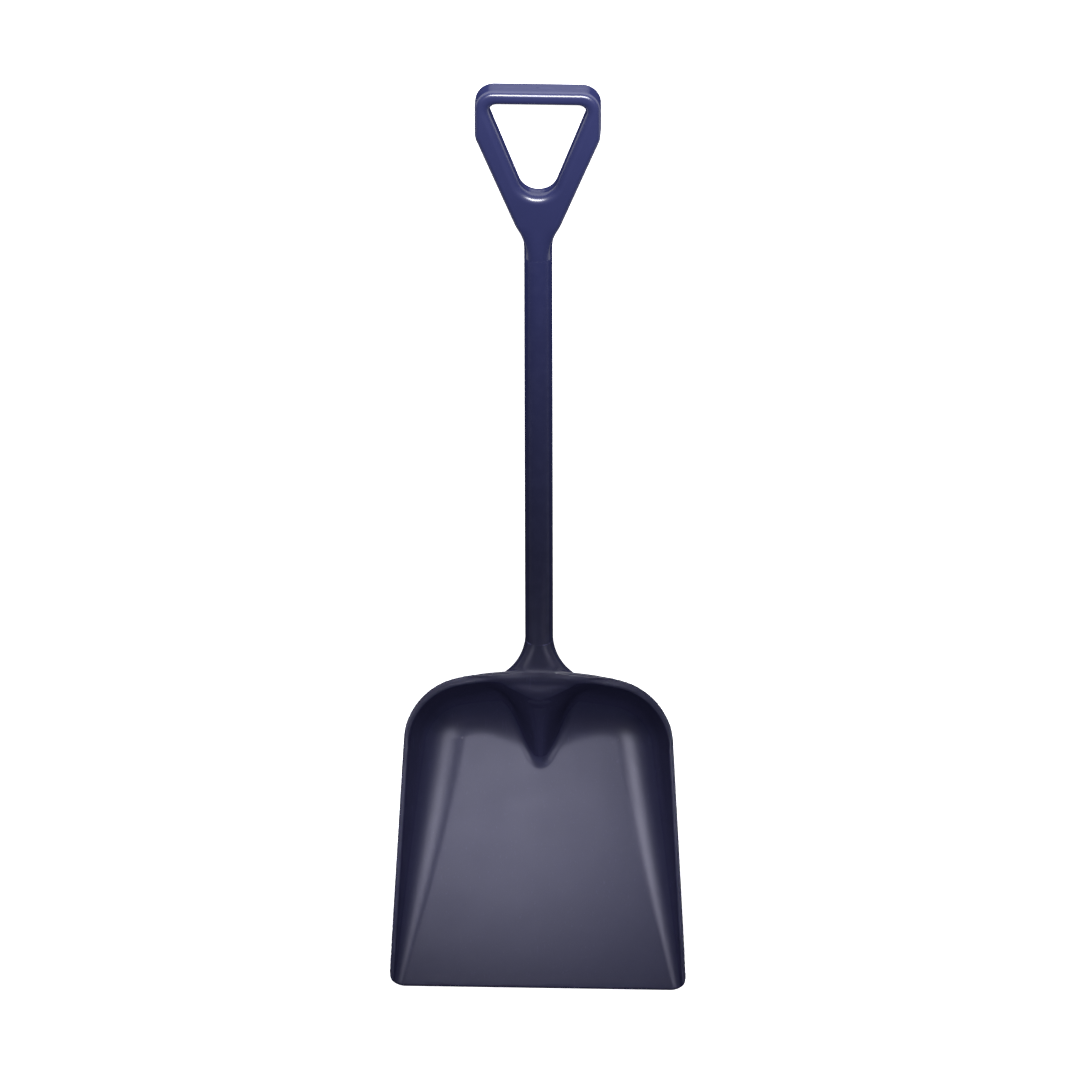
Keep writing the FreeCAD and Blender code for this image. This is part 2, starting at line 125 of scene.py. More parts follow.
def soft_max(a, b, k):
    """The union of two solids, positive inside, for faces that meet at a slight angle."""
    return np.maximum(a, b) + np.maximum(k - np.abs(a - b), 0.0) ** 2 / (4.0 * k)


def smooth_step(t):
    t = np.clip(t, 0.0, 1.0)
    return t * t * (3.0 - 2.0 * t)


def gradient(field, p, step=0.03):
    """Central differences of a field at an (n, 3) array of points."""
    g = np.empty_like(p)
    for k in range(3):
        d = np.zeros(3)
        d[k] = step
        g[:, k] = (field(*(p + d).T) - field(*(p - d).T)) / (2 * step)
    return g


def pull_to_surface(field, p, rounds=4, longest=1.2):
    """Newton steps that carry points onto the field's zero surface."""
    for _ in range(rounds):
        g = gradient(field, p)
        square = np.maximum((g * g).sum(1), LEAST_SLOPE)
        move = -(field(*p.T) / square)[:, None] * g
        length = np.linalg.norm(move, axis=1)
        p = p + move * np.minimum(1.0, longest / np.maximum(length, TINY))[:, None]
    return p


def surface_net(field, low, high, cell):
    """Points and quads of the field's zero surface, with one point in each cell that it passes."""
    axes = [np.arange(a - cell, b + 2 * cell, cell) for a, b in zip(low, high)]
    grid = np.meshgrid(*axes, indexing="ij", sparse=True)
    value = np.broadcast_to(field(*grid), [len(a) for a in axes]).astype(np.float32)
    inside = value > 0
    shape = [n - 1 for n in inside.shape]
    total = np.zeros(shape, np.int8)
    corners = [(i, j, k) for i in (0, 1) for j in (0, 1) for k in (0, 1)]
    for i, j, k in corners:
        total += inside[i : i + shape[0], j : j + shape[1], k : k + shape[2]]
    active = (total > 0) & (total < 8)
    cells = np.argwhere(active)
    index = -np.ones(shape, np.int64)
    index[active] = np.arange(len(cells))

    points = np.zeros((len(cells), 3))
    count = np.zeros(len(cells))
    for a in range(3):
        others = [k for k in range(3) if k != a]
        for u in (0, 1):
            for v in (0, 1):
                start = np.zeros(3, int)
                start[others[0]], start[others[1]] = u, v
                end = start.copy()
                end[a] = 1
                f0 = value[tuple((cells + start).T)]
                f1 = value[tuple((cells + end).T)]
                cross = (f0 > 0) != (f1 > 0)
                t = np.where(cross, f0 / np.where(cross, f0 - f1, 1.0), 0.0)
                place = start + np.outer(t, end - start)
                points += np.where(cross[:, None], place, 0.0)
                count += cross
    points = np.array([a[0] for a in axes]) + (cells + points / count[:, None]) * cell

    quads = []
    for a in range(3):
        b, c = (a + 1) % 3, (a + 2) % 3
        here = [slice(None)] * 3
        there = [slice(None)] * 3
        here[a], there[a] = slice(0, -1), slice(1, None)
        change = inside[tuple(here)] != inside[tuple(there)]
        edges = np.argwhere(change)
        first, second = edges[:, b], edges[:, c]
        keep = (first > 0) & (second > 0) & (first < shape[b]) & (second < shape[c])
        edges = edges[keep]
        ring = []
        for db, dc in ((-1, -1), (0, -1), (0, 0), (-1, 0)):
            at = edges.copy()
            at[:, b] += db
            at[:, c] += dc
            ring.append(index[tuple(at.T)])
        ring = np.stack(ring, 1)
        leaving = inside[tuple(edges.T)]
        quads.append(np.where(leaving[:, None], ring, ring[:, ::-1]))
    return points, np.concatenate(quads)


def even_out(field, p, quads, rounds=3):
    """Slides points towards their neighbours' middle and back to the surface, to even the quads."""
    ends = np.concatenate([quads[:, [i, (i + 1) % 4]] for i in range(4)])
    degree = np.bincount(ends[:, 0], minlength=len(p)) + np.bincount(ends[:, 1], minlength=len(p))
    for _ in range(rounds):
        middle = np.zeros_like(p)
        for k in range(3):
            middle[:, k] = np.bincount(ends[:, 0], p[ends[:, 1], k], len(p))
            middle[:, k] += np.bincount(ends[:, 1], p[ends[:, 0], k], len(p))
        middle /= degree[:, None]
        p = pull_to_surface(field, (1.0 - SLIDE) * p + SLIDE * middle, rounds=2)
    return p


def mesh_from_field(name, field, low, high, cell):
    """A Blender mesh, in the field's own frame, of its zero surface."""
    points, quads = surface_net(field, low, high, cell)
    points = pull_to_surface(field, points)
    points = even_out(field, points, quads)
    mesh = bpy.data.meshes.new(name)
    mesh.vertices.add(len(points))
    mesh.vertices.foreach_set("co", points.astype(np.float32).ravel())
    mesh.loops.add(quads.size)
    mesh.loops.foreach_set("vertex_index", quads.astype(np.int32).ravel())
    mesh.polygons.add(len(quads))
    mesh.polygons.foreach_set("loop_start", np.arange(0, quads.size, 4, dtype=np.int32))
    mesh.update(calc_edges=True)
    mesh.validate()
    return mesh


# ---------------------------------------------------------------- scoop
CORNER_X = CORNER_HALF_WIDTH - CORNER_RADIUS
BACK_CENTRE_Y = RIM_LENGTH - BACK_RADIUS
CORNER_Y = BACK_CENTRE_Y + math.sqrt((BACK_RADIUS - CORNER_RADIUS) ** 2 - CORNER_X**2)
JOIN = math.atan2(CORNER_Y - BACK_CENTRE_Y, CORNER_X)

# the rim's slope, roundings and band
RIM_SLOPE = (RIM_BACK - RIM_TIP) / RIM_LENGTH
RIM_COS = 0.98
RIM_ROUND = 2.1
BAND_BACK, BAND_SIDE, BAND_DEPTH = 4.4, 0.8, 0.09
BAND_FOOT_ROUND, BAND_FILLET = 1.2, 1.6

# the roundings at the foot of the walls and at the tip
FOOT_SHARE, SIDE_FOOT, BACK_FOOT = 0.65, 38.0, 62.0
FOOT_BLEND, OUTER_FOOT = 16.0, 2.5
LIP_ROUND = 3.2
TIP_CORNER = 20.0

# the nose, whose spread is its half width for each unit of length
NOSE_TOP_Y, NOSE_TIP_Y = 356.0, 256.0
NOSE_TOP_SPREAD, NOSE_FOOT_SPREAD = 3.0, 0.50
NOSE_HIGHEST = 1.2
NOSE_RIDGE, NOSE_BLUNT, NOSE_EDGE, NOSE_FILLET = 6.0, 4.0, 4.0, 7.0
NOSE_SKIN = 0.4

# the socket's flare, the core inside it and the way both run into the rim
FLARE_RADIUS, FLARE_START, FLARE_END = 60.0, 46.0, -9.0
FLARE_WIDEST = 40.0
FLARE_DROP, FLARE_DROP_OVER = 4.5, 50.0
FLARE_FRONT, FLARE_BACK, FLARE_BOXY = 1.4, 0.4, 1.0
FLARE_END_ROUND = 5.0
FLARE_FILLET, TOP_FILLET, FILLET_DEPTH, TOP_BLEND = 9.0, 1.0, 12.0, 5.0
CORE_RADIUS, CORE_REACH, CORE_END = 14.6, 36.0, 8.0
FARTHEST, OFF_AXIS = 60.0, 1e-6


def rim_plan(x, y):
    """For plan points: depth inside the rim's outline, y of the nearest rim point, how far that
    point faces backwards, and how far along the back edge it lies."""
    ax = np.abs(x)
    lean = (TIP_HALF_WIDTH - CORNER_HALF_WIDTH) / CORNER_Y
    norm = math.hypot(1.0, lean)
    side = (TIP_HALF_WIDTH - lean * y - ax) / norm
    back_x, back_y = ax, y - BACK_CENTRE_Y
    back_far = np.sqrt(back_x**2 + back_y**2)
    back = BACK_RADIUS - back_far
    cx, cy = ax - CORNER_X, y - CORNER_Y
    corner_far = np.sqrt(cx * cx + cy * cy) + TINY
    corner = CORNER_RADIUS - corner_far
    turn = np.arctan2(cy, cx)
    in_corner = (turn > -lean) & (turn < JOIN)
    use_back = ~in_corner & (back < side)
    depth = np.where(in_corner, corner, np.where(use_back, back, side))
    facing = np.where(in_corner, cy / corner_far, np.where(use_back, back_y / back_far, 0.0))
    rim_y = y + depth * facing
    along = (np.arctan2(back_y, back_x) - JOIN) / (math.pi / 2 - JOIN)
    growth = np.where(use_back, smooth_step(along), 0.0)
    return depth, rim_y, facing, growth


def scoop_shell(x, y, z):
    """The open scoop with its rim band, and the room inside its outer skin."""
    depth, rim_y, facing, growth = rim_plan(x, y)
    top = RIM_TIP + RIM_SLOPE * rim_y
    cos_s, tan_s = math.cos(SLANT), math.tan(SLANT)
    wall = (depth - (top - z) * tan_s) * cos_s
    foot = (BACK_FOOT - SIDE_FOOT) * growth - soft_max(-FOOT_SHARE * top, -SIDE_FOOT, FOOT_BLEND)
    hollow = round_min(wall, z - WALL, foot)
    outer = round_min(wall + WALL, z + 0.0 * x, foot + OUTER_FOOT)
    below = (top - z) * RIM_COS
    shell = round_min(np.minimum(outer, -hollow), below, RIM_ROUND)
    band_wide = BAND_SIDE + (BAND_BACK - BAND_SIDE) * facing**2
    band_deep = BAND_DEPTH * top
    face = np.minimum(wall + WALL + band_wide, below)
    band = round_min(round_min(face, -hollow, RIM_ROUND), band_deep - below, BAND_FOOT_ROUND)
    shell = round_max(shell, band, BAND_FILLET)
    return shell, outer


def tip_plan(x, y):
    """Depth inside the tip's outline, with its round corners."""
    lean = (TIP_HALF_WIDTH - CORNER_HALF_WIDTH) / CORNER_Y
    half = TIP_HALF_WIDTH + WALL / math.cos(SLANT) + BAND_SIDE - lean * y
    return round_min(y + 0.0 * x, half - np.abs(x), TIP_CORNER)


def shaft_frame(y, z):
    """Blade-frame y and z as distance along the shaft and height in front of its axis."""
    along = (y - BACK_Y) * math.cos(LIFT) + (z - AXIS_HEIGHT) * math.sin(LIFT)
    front = (z - AXIS_HEIGHT) * math.cos(LIFT) - (y - BACK_Y) * math.sin(LIFT)
    return along, front


def nose(x, y, z):
    """The wedge that runs from the shaft's front down the back wall to a point on the floor."""
    rise = (NOSE_TOP_Y - NOSE_TIP_Y) / RIM_BACK
    level = np.clip(z / RIM_BACK, 0.0, NOSE_HIGHEST)
    apex = NOSE_TIP_Y + rise * z
    spread = NOSE_FOOT_SPREAD + (NOSE_TOP_SPREAD - NOSE_FOOT_SPREAD) * level**3
    ridge = np.sqrt(x * x + NOSE_RIDGE**2) - NOSE_RIDGE
    flank = (spread * (y - apex) - ridge) / np.sqrt(1.0 + spread**2 * (1.0 + rise**2))
    flank = round_min(flank, (y - apex) / math.hypot(1.0, rise), NOSE_BLUNT)
    return round_min(flank, RIM_TIP + RIM_SLOPE * y - z, NOSE_EDGE)


def socket(x, y, z):
    """The sleeve end that widens into the rim."""
    along, front = shaft_frame(y, z)
    down = np.clip(FLARE_START - along, 0.0, FLARE_START - FLARE_END)
    half = SHAFT_RADIUS + FLARE_RADIUS - np.sqrt(FLARE_RADIUS**2 - down**2)
    half = np.minimum(half, FLARE_WIDEST)
    widening = smooth_step(down / FLARE_START)
    shift = FLARE_DROP * smooth_step(down / FLARE_DROP_OVER)
    deep_front = SHAFT_RADIUS - shift + FLARE_FRONT * widening
    deep_back = SHAFT_RADIUS + FLARE_BACK * shift
    off = front - shift
    deep = np.where(off > 0, deep_front, deep_back)
    power = 2.0 + np.where(off > 0, FLARE_BOXY, 0.0) * widening
    u, v = np.abs(x) / half + OFF_AXIS, np.abs(off) / deep + OFF_AXIS
    q = (u**power + v**power) ** (1.0 / power)
    steepness = np.sqrt((u ** (power - 1.0) / half) ** 2 + (v ** (power - 1.0) / deep) ** 2)
    round_part = np.clip((1.0 - q) / (q ** (1.0 - power) * steepness), -FARTHEST, FARTHEST)
    flare = round_min(round_part, along - FLARE_END, FLARE_END_ROUND)
    core = round_min(CORE_RADIUS - np.sqrt(x * x + front**2), along + CORE_REACH, CORE_END)
    return np.maximum(flare, core)


def scoop_field(x, y, z):
    """The whole scoop moulding, positive inside."""
    shell, outer = scoop_shell(x, y, z)
    inner_nose = np.minimum(nose(x, y, z), outer - NOSE_SKIN)
    whole = round_max(shell, inner_nose, NOSE_FILLET)
    below = RIM_TIP + RIM_SLOPE * y - z
    fillet = TOP_FILLET + (FLARE_FILLET - TOP_FILLET) * smooth_step(below / FILLET_DEPTH)
    stem = socket(x, y, z)
    whole = np.maximum(round_max(whole, stem, fillet), soft_max(whole, stem, TOP_BLEND))
    return round_min(whole, tip_plan(x, y), LIP_ROUND)


# ---------------------------------------------------------------- grip
HOLE_TOP, HOLE_TOP_HALF = 730.0, 58.5
HOLE_LOW, HOLE_LOW_HALF = 616.0, 15.6
HOLE_FOOT_RADIUS = 22.5
HOLE_CORNER, GRIP_CORNER = 13.0, 22.0
GRIP_EDGE, HOLE_EDGE = 6.0, 10.0
SHOULDER, SHOULDER_ROUND = 689.0, 2.0
TAPER_END = (20.8, 565.2)
STEM_TOP, STEM_FILLET = 640.0, 5.0
NECK_ROUND, NECK_BLEND = 1.0, 44.0


def slanted(x, s, x0, s0, x1, s1):
    """Depth inside a straight side from (x0, s0) to (x1, s1), measured towards the middle."""
    length = math.hypot(x1 - x0, s1 - s0)
    return ((x0 - np.abs(x)) * (s0 - s1) - (x0 - x1) * (s0 - s)) / length


def hole_sides(x, s):
    """Depth inside the hand hole's straight sides and the arc that joins them at its foot."""
    straight = slanted(x, s, HOLE_TOP_HALF, HOLE_TOP, HOLE_LOW_HALF, HOLE_LOW)
    rise = s - HOLE_LOW - HOLE_FOOT_RADIUS
    length = math.hypot(HOLE_TOP_HALF - HOLE_LOW_HALF, HOLE_TOP - HOLE_LOW)
    out_x, out_s = (HOLE_TOP - HOLE_LOW) / length, -(HOLE_TOP_HALF - HOLE_LOW_HALF) / length
    in_foot = np.abs(x) * out_s - rise * out_x > 0
    return np.where(in_foot, HOLE_FOOT_RADIUS - np.sqrt(x * x + rise * rise), straight)


def grip_field(x, s, n):
    """The D-grip, its hand hole and the neck that turns round to meet the sleeve."""
    block = round_min(GRIP_TOP - s, GRIP_HALF_WIDTH - np.abs(x), GRIP_CORNER)
    taper = slanted(x, s, GRIP_HALF_WIDTH, SHOULDER, *TAPER_END)
    outline = round_min(block, taper, SHOULDER_ROUND)
    stem = np.minimum(SHAFT_RADIUS - np.abs(x), STEM_TOP - s)
    outline = round_max(outline, stem, STEM_FILLET)
    hole = round_min(HOLE_TOP - s, hole_sides(x, s), HOLE_CORNER)
    faces = GRIP_HALF_DEPTH - np.abs(n)
    solid = np.minimum(round_min(outline, faces, GRIP_EDGE), round_min(-hole, faces, HOLE_EDGE))
    neck = SHAFT_RADIUS - np.sqrt(x * x + n * n)
    return neck + (solid - neck) * smooth_step((s - NECK_LOW - NECK_ROUND) / NECK_BLEND)


# ---------------------------------------------------------------- solids of revolution and cuts
def lathe(name, profile, axis_to, steps, ring=False):
    """Turns (radius, height) pairs about +Z and carries the mesh by axis_to. A ring's profile
    closes on itself; any other profile starts and ends with a flat cap."""
    bm = bmesh.new()
    rows = []
    for radius, height in profile:
        row = []
        for i in range(steps):
            angle = 2 * math.pi * i / steps
            row.append(bm.verts.new((radius * math.cos(angle), radius * math.sin(angle), height)))
        rows.append(row)
    pairs = list(zip(rows, rows[1:]))
    if ring:
        pairs.append((rows[-1], rows[0]))
    for lower, upper in pairs:
        for i in range(steps):
            j = (i + 1) % steps
            bm.faces.new((lower[i], lower[j], upper[j], upper[i]))
    if not ring:
        bm.faces.new(list(reversed(rows[0])))
        bm.faces.new(rows[-1])
    bmesh.ops.recalc_face_normals(bm, faces=bm.faces)
    mesh = bpy.data.meshes.new(name)
    bm.to_mesh(mesh)
    bm.free()
    mesh.transform(axis_to)
    return mesh


def keep_side(mesh, point, normal, bevel):
    """Cuts a mesh with a plane, drops the normal's side, closes the cut and bevels its edge."""
    bm = bmesh.new()
    bm.from_mesh(mesh)
    everything = list(bm.verts) + list(bm.edges) + list(bm.faces)
    bmesh.ops.bisect_plane(bm, geom=everything, plane_co=point, plane_no=normal, clear_outer=True)
    rim = [e for e in bm.edges if e.is_boundary and on_plane(e, point, normal)]
    bmesh.ops.triangle_fill(bm, use_beauty=True, edges=rim, normal=normal)
    if bevel > 0:
        bmesh.ops.bevel(bm, geom=rim, offset=bevel, segments=2, affect="EDGES", clamp_overlap=True)
    bmesh.ops.recalc_face_normals(bm, faces=bm.faces)
    bm.to_mesh(mesh)
    bm.free()


def on_plane(edge, point, normal):
    return all(abs((v.co - point).dot(normal)) < ON_PLANE for v in edge.verts)


def cut_out(mesh, cutters):
    """Subtracts closed cutter meshes from a mesh, one after the other."""
    scene = bpy.context.scene
    body = bpy.data.objects.new("cut_body", mesh)
    scene.collection.objects.link(body)
    tools = []
    for cutter in cutters:
        tool = bpy.data.objects.new("cut_tool", cutter)
        scene.collection.objects.link(tool)
        tools.append(tool)
        step = body.modifiers.new("cut", "BOOLEAN")
        step.operation = "DIFFERENCE"
        step.solver = "EXACT"
        step.object = tool
    graph = bpy.context.evaluated_depsgraph_get()
    result = bpy.data.meshes.new_from_object(body.evaluated_get(graph))
    result.name = mesh.name
    for obj in tools + [body]:
        used = obj.data
        bpy.data.objects.remove(obj)
        bpy.data.meshes.remove(used)
    return result


def thin_out(mesh, triangles):
    """Merges faces where the surface is flattest, down to about the given number of triangles."""
    count = sum(len(p.vertices) - 2 for p in mesh.polygons)
    obj = bpy.data.objects.new("thin", mesh)
    bpy.context.scene.collection.objects.link(obj)
    step = obj.modifiers.new("thin", "DECIMATE")
    step.ratio = min(1.0, triangles / count)
    graph = bpy.context.evaluated_depsgraph_get()
    result = bpy.data.meshes.new_from_object(obj.evaluated_get(graph))
    result.name = mesh.name
    bpy.data.objects.remove(obj)
    bpy.data.meshes.remove(mesh)
    return result


def smooth_by_field(mesh, field):
    """Takes each corner's normal from the field, except on cut faces."""
    points = np.empty(len(mesh.vertices) * 3)
    mesh.vertices.foreach_get("co", points)
    points = points.reshape(-1, 3)
    outward = -gradient(field, points)
    outward /= np.maximum(np.linalg.norm(outward, axis=1), TINY)[:, None]
    corner_vertex = np.empty(len(mesh.loops), np.int32)
    mesh.loops.foreach_get("vertex_index", corner_vertex)
    flat = np.empty(len(mesh.polygons) * 3)
    mesh.polygons.foreach_get("normal", flat)
    sizes = np.empty(len(mesh.polygons), np.int32)
    mesh.polygons.foreach_get("loop_total", sizes)
    own = np.repeat(flat.reshape(-1, 3), sizes, axis=0)
    soft = outward[corner_vertex]
    agree = (own * soft).sum(1) > math.cos(CUT_ANGLE)
    on_surface = np.abs(field(*points.T))[corner_vertex] < ON_SURFACE
    normals = np.where((agree & on_surface)[:, None], soft, own)
    mesh.shade_smooth()
    mesh.normals_split_custom_set(normals.tolist())


ALONG_SHAFT = Matrix.Rotation(-math.pi / 2, 4, "X")
TUBE_BORE = ((BORE_RADIUS, BORE_LOW), (BORE_RADIUS, BORE_HIGH))
OUT_OF_BACK = -40.0


def across(s, x=0.0):
    """Carries a turned cutter so that its axis runs from the back to the front at (x, s)."""
    return Matrix.Translation((x, s, 0.0))


def screw_space(floor, reach):
    """Profile of a screw's head recess and shank hole, from outside the back to the screw's tip."""
    return (
        (SCREW_RECESS, OUT_OF_BACK),
        (SCREW_RECESS, floor),
        (SCREW_SHANK, floor),
        (SCREW_SHANK, reach),
    )


# ---------------------------------------------------------------- pieces
def scoop_mesh():
    mesh = mesh_from_field("scoop", scoop_field, SCOOP_LOW, SCOOP_HIGH, SCOOP_CELL)
    top = SHAFT_IN_BLADE @ Vector((0, SOCKET_TOP, 0))
    keep_side(mesh, top, SHAFT_IN_BLADE.to_3x3() @ Vector((0, 1, 0)), SEAM)
    cutters = [lathe("bore", TUBE_BORE, SHAFT_IN_BLADE @ ALONG_SHAFT, BORE_STEPS)]
    for s in SOCKET_SCREWS:
        profile = screw_space(SOCKET_RECESS_FLOOR, SOCKET_SCREW_END)
        cutters.append(lathe("recess", profile, SHAFT_IN_BLADE @ across(s), HOLE_STEPS))
    mesh = thin_out(cut_out(mesh, cutters), MOST_TRIANGLES)
    smooth_by_field(mesh, scoop_field)
    mesh.transform(BLADE)
    return mesh


def sleeve_mesh():
    low, high = SOCKET_TOP, NECK_LOW
    profile = [
        (SHAFT_RADIUS - SEAM, low),
        (SHAFT_RADIUS, low + SEAM),
        (SHAFT_RADIUS, high - SEAM),
        (SHAFT_RADIUS - SEAM, high),
        (BORE_RADIUS, high),
        (BORE_RADIUS, low),
    ]
    mesh = lathe("sleeve", profile, SHAFT @ ALONG_SHAFT, SLEEVE_STEPS, ring=True)
    mesh.shade_smooth()
    mesh.set_sharp_from_angle(angle=SHARP)
    return mesh


def grip_meshes():
    """The front and the rear half, parted at the shaft's mid plane."""
    low = (-GRIP_HALF_WIDTH, NECK_LOW - GRIP_MARGIN, -SHAFT_RADIUS)
    high = (GRIP_HALF_WIDTH, GRIP_TOP, SHAFT_RADIUS)
    whole = mesh_from_field("grip", grip_field, low, high, GRIP_CELL)
    keep_side(whole, Vector((0, NECK_LOW, 0)), Vector((0, -1, 0)), SEAM)
    spaces = [lathe("bore", TUBE_BORE, ALONG_SHAFT, BORE_STEPS)]
    pin_space = ((PIN_RADIUS, -PIN_HALF), (PIN_RADIUS, PIN_HALF))
    sideways = Matrix.Translation((0, PIN_PLACE, 0)) @ Matrix.Rotation(math.pi / 2, 4, "Y")
    spaces.append(lathe("pin", pin_space, sideways, HOLE_STEPS))
    for x, s in GRIP_SCREWS:
        profile = screw_space(GRIP_RECESS_FLOOR, GRIP_SCREW_END)
        spaces.append(lathe("recess", profile, across(s, x), HOLE_STEPS))
    whole = cut_out(whole, spaces)
    rear = whole.copy()
    keep_side(whole, Vector((0, 0, 0)), Vector((0, 0, -1)), PARTING)
    keep_side(rear, Vector((0, 0, 0)), Vector((0, 0, 1)), PARTING)
    for mesh in (whole, rear):
        smooth_by_field(mesh, grip_field)
        mesh.transform(SHAFT)
    return whole, rear


# ---------------------------------------------------------------- finishes
NAVY_DEEP, NAVY = (0.012, 0.014, 0.046), (0.013, 0.015, 0.050)
# Painted shade: the scoop's navy is a darker, greyer copy of the grip's navy. It stands in for the
# shade that the scoop's walls and floor lie in.
SCOOP_SHADE_DEEP, SCOOP_SHADE_NAVY = (0.0115, 0.0118, 0.0250), (0.0125, 0.0128, 0.0270)
NAVY_PALE = (0.060, 0.064, 0.130)
BLACK, BLACK_DUSTY = (0.012, 0.012, 0.013), (0.03, 0.03, 0.032)
ZINC, PIN_STEEL, ALUMINIUM = (0.62, 0.62, 0.60), (0.55, 0.55, 0.56), (0.80, 0.81, 0.82)
DULLER = 0.72
PAPER, PAPER_PALE = (0.86, 0.86, 0.865), (0.90, 0.90, 0.90)

# the plastic's roughness, gloss and wear, and how far it faces away, from 0 to 1, where its shine
# starts to fade and where it has faded
ROUGH, GRIP_ROUGH = 0.38, 0.30
GLOSS, GRIP_GLOSS = 0.27, 0.52
SCOOP_WEAR, SLEEVE_WEAR, GRIP_WEAR = 0.8, 0.15, 0.2
FADE_START, FADE, GRIP_FADE = 0.14, 0.40, 0.58

# how many features a metre the noises of the navy plastic have
MOTTLE, SPECKS, RUBBING, SCRATCHES = 22.0, 900.0, 70.0, 60.0
HAZE, WAVES, PEEL = 35.0, 30.0, 1400.0


class Nodes:
    """A small builder for a material's node tree."""

    def __init__(self, name):
        self.material = bpy.data.materials.new(name)
        self.material.use_nodes = True
        self.tree = self.material.node_tree
        self.shader = self.tree.nodes["Principled BSDF"]
        self.place = self.add("ShaderNodeTexCoord").outputs["Object"]

    def add(self, kind, **settings):
        node = self.tree.nodes.new(kind)
        for key, value in settings.items():
            setattr(node, key, value)
        return node

    def link(self, source, target):
        self.tree.links.new(source, target)

    def noise(self, scale, detail=2.0, stretch=(1.0, 1.0, 1.0)):
        """A noise value between 0 and 1, with features about 1 / scale metres wide."""
        mapping = self.add("ShaderNodeMapping")
        mapping.inputs["Scale"].default_value = stretch
        self.link(self.place, mapping.inputs["Vector"])
        node = self.add("ShaderNodeTexNoise")
        node.inputs["Scale"].default_value = scale
        node.inputs["Detail"].default_value = detail
        self.link(mapping.outputs["Vector"], node.inputs["Vector"])
        return node.outputs["Fac"]

    def spread(self, value, low, high, start=0.0, end=1.0):
        """Maps value from low..high to start..end and holds it there."""
        node = self.add("ShaderNodeMapRange")
        self.link(value, node.inputs["Value"])
        names = ("From Min", "From Max", "To Min", "To Max")
        for key, number in zip(names, (low, high, start, end)):
            node.inputs[key].default_value = number
        return node.outputs["Result"]

    def maths(self, operation, a, b):
        node = self.add("ShaderNodeMath", operation=operation)
        for socket, item in zip(node.inputs, (a, b)):
            if isinstance(item, (int, float)):
                socket.default_value = item
            else:
                self.link(item, socket)
        return node.outputs["Value"]

    def mix(self, amount, a, b):
        """A colour between a and b."""
        node = self.add("ShaderNodeMix", data_type="RGBA")
        self.link(amount, node.inputs["Factor"])
        colours = [i for i in node.inputs if i.type == "RGBA"]
        for socket, item in zip(colours, (a, b)):
            if isinstance(item, tuple):
                socket.default_value = item + (1.0,)
            else:
                self.link(item, socket)
        return [o for o in node.outputs if o.type == "RGBA"][0]

    def bump(self, height, distance, strength=1.0, below=None):
        node = self.add("ShaderNodeBump")
        node.inputs["Distance"].default_value = distance
        node.inputs["Strength"].default_value = strength
        self.link(height, node.inputs["Height"])
        if below is not None:
            self.link(below, node.inputs["Normal"])
        return node.outputs["Normal"]

    def finish(self, **inputs):
        for key, value in inputs.items():
            socket = self.shader.inputs[key.replace("_", " ")]
            if isinstance(value, (int, float, tuple)):
                socket.default_value = value
            else:
                self.link(value, socket)
        return self.material


def navy_plastic(name, deep, full, wear, satin, gloss, fade, run=None):
    """Satin moulded polypropylene: faint mottling, fine orange peel, edges rubbed paler and a few
    hair scratches. Its shine has faded out where it faces away by more than fade. With run, the
    colour turns from the given one to the grip's between those two places along y; this is painted
    shade, darker at the end that takes the scoop's shaded navy."""
    n = Nodes(name)
    # Painted shade: along y the colour runs from the scoop's shaded navy up to the grip's navy,
    # darker towards the scoop end.
    if run is not None:
        split = n.add("ShaderNodeSeparateXYZ")
        n.link(n.place, split.inputs["Vector"])
        along = n.spread(split.outputs["Y"], *run)
        deep, full = n.mix(along, deep, NAVY_DEEP), n.mix(along, full, NAVY)
    mottle = n.spread(n.noise(MOTTLE, 3.0), 0.2, 0.8)
    colour = n.mix(mottle, deep, full)
    specks = n.spread(n.noise(SPECKS, 1.0), 0.72, 0.80, 0.0, 0.25)
    colour = n.mix(specks, colour, NAVY_PALE)
    edge = n.spread(n.add("ShaderNodeNewGeometry").outputs["Pointiness"], 0.55, 0.62)
    rubbed = n.maths("MULTIPLY", edge, n.spread(n.noise(RUBBING, 4.0), 0.45, 0.62, 0.0, wear))
    colour = n.mix(rubbed, colour, NAVY_PALE)
    scratch = n.noise(SCRATCHES, 3.0, stretch=(9.0, 0.5, 9.0))
    scratches = n.spread(scratch, 0.66, 0.70, 0.0, 0.10 * wear)
    colour = n.mix(scratches, colour, NAVY_PALE)
    rough = n.spread(n.noise(HAZE, 4.0), 0.3, 0.7, satin - 0.012, satin + 0.015)
    rough = n.maths("ADD", rough, n.maths("MULTIPLY", rubbed, 0.12))
    wavy = n.bump(n.noise(WAVES, 1.0), 0.0001, 0.15)
    peel = n.bump(n.noise(PEEL, 2.0), 0.00002, 0.6, below=wavy)
    normal = n.bump(scratches, -0.00003, 1.0, below=peel)
    layer = n.add("ShaderNodeLayerWeight")
    shine = n.spread(layer.outputs["Facing"], FADE_START, fade, gloss, 0.0)
    return n.finish(Base_Color=colour, Roughness=rough, Normal=normal, Specular_IOR_Level=shine)


def metal(name, tone, rough, stretch):
    """Bare metal with a drawn or turned grain and dull patches."""
    n = Nodes(name)
    grain = n.noise(900.0, 2.0, stretch=stretch)
    dull = n.spread(n.noise(60.0, 4.0), 0.4, 0.7)
    colour = n.mix(dull, tone, tuple(DULLER * c for c in tone))
    grained = n.spread(grain, 0.3, 0.7, rough - 0.08, rough + 0.08)
    roughness = n.maths("ADD", grained, n.maths("MULTIPLY", dull, 0.1))
    normal = n.bump(grain, 0.00001, 0.5)
    return n.finish(Base_Color=colour, Roughness=roughness, Metallic=1.0, Normal=normal)


